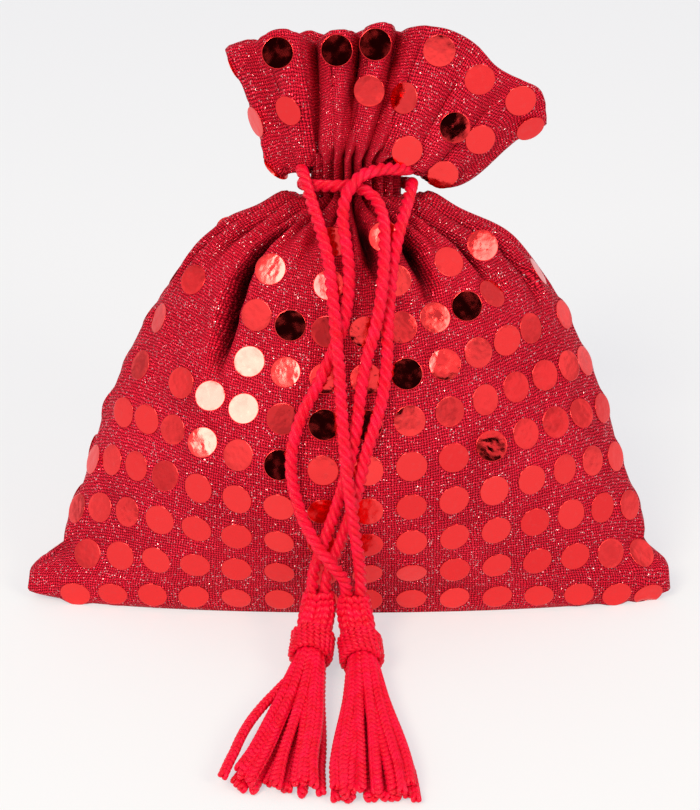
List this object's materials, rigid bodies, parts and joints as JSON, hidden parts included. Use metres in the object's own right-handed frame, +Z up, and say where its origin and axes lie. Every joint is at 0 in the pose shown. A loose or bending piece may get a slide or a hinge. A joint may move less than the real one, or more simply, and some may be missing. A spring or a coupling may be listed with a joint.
{
  "type": "drawstring pouch",
  "caption": "Stuffed drawstring gift pouch in red glitter fabric with sequin dots, gathered at the neck by twisted cords that end in tassels.",
  "frame": {"origin": "middle of the flat base that the pouch stands on, measured without the cords and tassels", "axes": "+Z up, +X along the bottom seam to the right as seen from the front, +Y to the back"},
  "size_m": [0.134, 0.1174, 0.1171],
  "materials": {
    "glitter_fabric": "red glitter weave with metallic thread",
    "sequin": "flat mirror-like red film dots",
    "cord": "silky three-strand twisted cord",
    "tassel_yarn": "silky chain-stitch yarn",
    "binding_thread": "silky wrapped thread"
  },
  "bodies": {
    "root": {"pouch": "glitter_fabric", "drawstring_left": "cord", "drawstring_right": "cord", "tassel_left_strands": "tassel_yarn", "tassel_left_binding": "binding_thread", "tassel_right_strands": "tassel_yarn", "tassel_right_binding": "binding_thread"}
  },
  "joints": []
}
